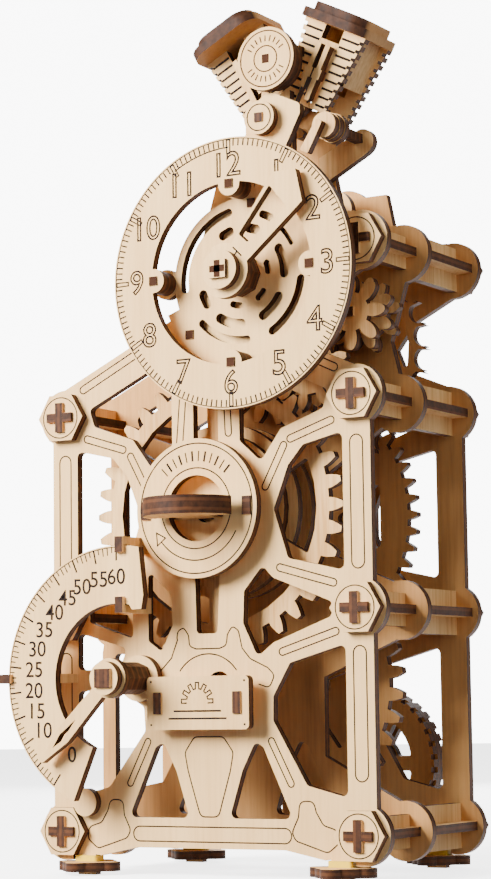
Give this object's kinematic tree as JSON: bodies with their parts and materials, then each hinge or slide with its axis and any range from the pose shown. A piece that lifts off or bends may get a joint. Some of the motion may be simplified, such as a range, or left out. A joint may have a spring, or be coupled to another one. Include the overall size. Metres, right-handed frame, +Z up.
{
  "type": "wooden mechanical clock kit",
  "caption": "Plywood table clock with an off-centre hour dial, a curved minute scale, winding key, open gear train, pendulum and a two-cylinder toy engine on top.",
  "frame": {"origin": "middle of the overall outline on the surface that the feet stand on", "axes": "+Z up, +Y to the back, +X to the right as seen from the dial side"},
  "size_m": [0.1422, 0.1104, 0.2877],
  "materials": {
    "birch_frame": "raw birch plywood with laser-burnt edges",
    "birch_wheels": "raw birch plywood with laser-burnt edges",
    "birch_hands": "raw birch plywood with laser-burnt edges",
    "rubber_band": "smooth matt"
  },
  "bodies": {
    "clock_frame": {"front_plate": "birch_frame", "middle_plate": "birch_frame", "back_plate": "birch_frame", "rod_flat_strips": "birch_frame", "rod_upright_strips": "birch_frame", "nuts": "birch_frame", "feet": "birch_frame", "foot_bands": "rubber_band", "dial_ring": "birch_frame", "dial_inner_plate": "birch_frame", "dial_posts": "birch_frame", "minute_scale": "birch_frame", "scale_clips": "birch_frame", "name_plate": "birch_frame", "name_plate_brackets": "birch_frame", "engine_front_plates": "birch_frame", "cylinder_faces": "birch_frame", "cylinder_sides": "birch_frame", "cylinder_heads": "birch_frame", "valve_gear": "birch_frame", "air_cleaner": "birch_frame"},
    "winding_knob": {"knob_ring": "birch_hands", "winding_key": "birch_hands", "winding_arbor": "birch_wheels", "ratchet_wheel": "birch_wheels"},
    "main_wheel_group": {"main_wheel": "birch_wheels", "winding_drum": "birch_wheels"},
    "second_group": {"second_pinion": "birch_wheels", "second_wheel": "birch_wheels", "second_arbor": "birch_wheels"},
    "third_group": {"third_pinion": "birch_wheels", "third_wheel": "birch_wheels", "third_arbor": "birch_wheels"},
    "escape_group": {"escape_wheel": "birch_wheels", "escape_pinion": "birch_wheels", "drive_gear": "birch_wheels", "escape_arbor": "birch_wheels"},
    "petal_group": {"petal_pinion": "birch_wheels", "petal_discs": "birch_wheels", "petal_arbor": "birch_wheels"},
    "lower_idler_group": {"lower_idler": "birch_wheels"},
    "upper_idler_group": {"upper_idler": "birch_wheels"},
    "hour_group": {"hour_wheel": "birch_wheels", "hour_arbor": "birch_wheels", "hour_collars": "birch_wheels", "hour_hand": "birch_hands"},
    "minute_group": {"pointer_arbor": "birch_wheels", "minute_pointer": "birch_hands", "pointer_washers": "birch_wheels", "pointer_lever": "birch_wheels"},
    "pendulum_group": {"pendulum_rod": "birch_wheels", "bob_sides": "birch_wheels", "bob_tread": "birch_wheels", "anchor_arbor": "birch_wheels", "anchor": "birch_wheels"},
    "crank_group": {"crank_pinion": "birch_wheels", "crank_arbor": "birch_wheels", "crank_disc": "birch_wheels"},
    "left_piston": {"piston_left": "birch_wheels"},
    "right_piston": {"piston_right": "birch_wheels"}
  },
  "joints": [
    {"name": "winding_turn", "type": "hinge", "parent": "clock_frame", "child": "winding_knob", "pos_m": [0.00265, -0.0298, 0.1195], "axis": [0, -1, 0], "continuous": true},
    {"name": "main_wheel_turn", "type": "hinge", "parent": "clock_frame", "child": "main_wheel_group", "pos_m": [0.00265, -0.0228, 0.1195], "axis": [0, -1, 0], "continuous": true},
    {"name": "second_turn", "type": "hinge", "parent": "clock_frame", "child": "second_group", "pos_m": [0.00686, 0.0142, 0.06215], "axis": [0, -1, 0], "continuous": true},
    {"name": "third_turn", "type": "hinge", "parent": "clock_frame", "child": "third_group", "pos_m": [0.00265, 0.0332, 0.1195], "axis": [0, -1, 0], "continuous": true},
    {"name": "escape_turn", "type": "hinge", "parent": "clock_frame", "child": "escape_group", "pos_m": [0.01665, 0.0272, 0.17607], "axis": [0, -1, 0], "continuous": true},
    {"name": "petal_turn", "type": "hinge", "parent": "clock_frame", "child": "petal_group", "pos_m": [0.05108, -0.0178, 0.18233], "axis": [0, -1, 0], "continuous": true},
    {"name": "lower_idler_turn", "type": "hinge", "parent": "clock_frame", "child": "lower_idler_group", "pos_m": [0.03743, -0.0228, 0.16529], "axis": [0, -1, 0], "continuous": true},
    {"name": "upper_idler_turn", "type": "hinge", "parent": "clock_frame", "child": "upper_idler_group", "pos_m": [0.02372, -0.0228, 0.22739], "axis": [0, -1, 0], "continuous": true},
    {"name": "hour_turn", "type": "hinge", "parent": "clock_frame", "child": "hour_group", "pos_m": [0.01925, -0.0448, 0.1952], "axis": [0, -1, 0], "continuous": true},
    {"name": "crank_turn", "type": "hinge", "parent": "clock_frame", "child": "crank_group", "pos_m": [0.02647, -0.0298, 0.2472], "axis": [0, -1, 0], "continuous": true},
    {"name": "minute_sweep", "type": "hinge", "parent": "clock_frame", "child": "minute_group", "pos_m": [-0.02235, -0.0508, 0.0646], "axis": [0, -1, 0], "range_deg": [-131.7, 8.3]},
    {"name": "pendulum_swing", "type": "hinge", "parent": "clock_frame", "child": "pendulum_group", "pos_m": [0.02065, 0.0462, 0.22627], "axis": [0, -1, 0], "range_deg": [-4, 4]},
    {"name": "left_piston_stroke", "type": "slide", "parent": "clock_frame", "child": "left_piston", "axis": [-0.454, 0, 0.891], "range_m": [-0.004, 0.004]},
    {"name": "right_piston_stroke", "type": "slide", "parent": "clock_frame", "child": "right_piston", "axis": [0.454, 0, 0.891], "range_m": [-0.004, 0.004]}
  ],
  "couplings": [
    {"joint": "second_turn", "follows": "main_wheel_turn", "ratio": -3.6},
    {"joint": "third_turn", "follows": "main_wheel_turn", "ratio": 10.2},
    {"joint": "escape_turn", "follows": "main_wheel_turn", "ratio": -32.64},
    {"joint": "petal_turn", "follows": "main_wheel_turn", "ratio": 81.6},
    {"joint": "lower_idler_turn", "follows": "main_wheel_turn", "ratio": -3.6},
    {"joint": "hour_turn", "follows": "main_wheel_turn", "ratio": 2},
    {"joint": "upper_idler_turn", "follows": "main_wheel_turn", "ratio": -4.5},
    {"joint": "crank_turn", "follows": "main_wheel_turn", "ratio": 4.5}
  ]
}
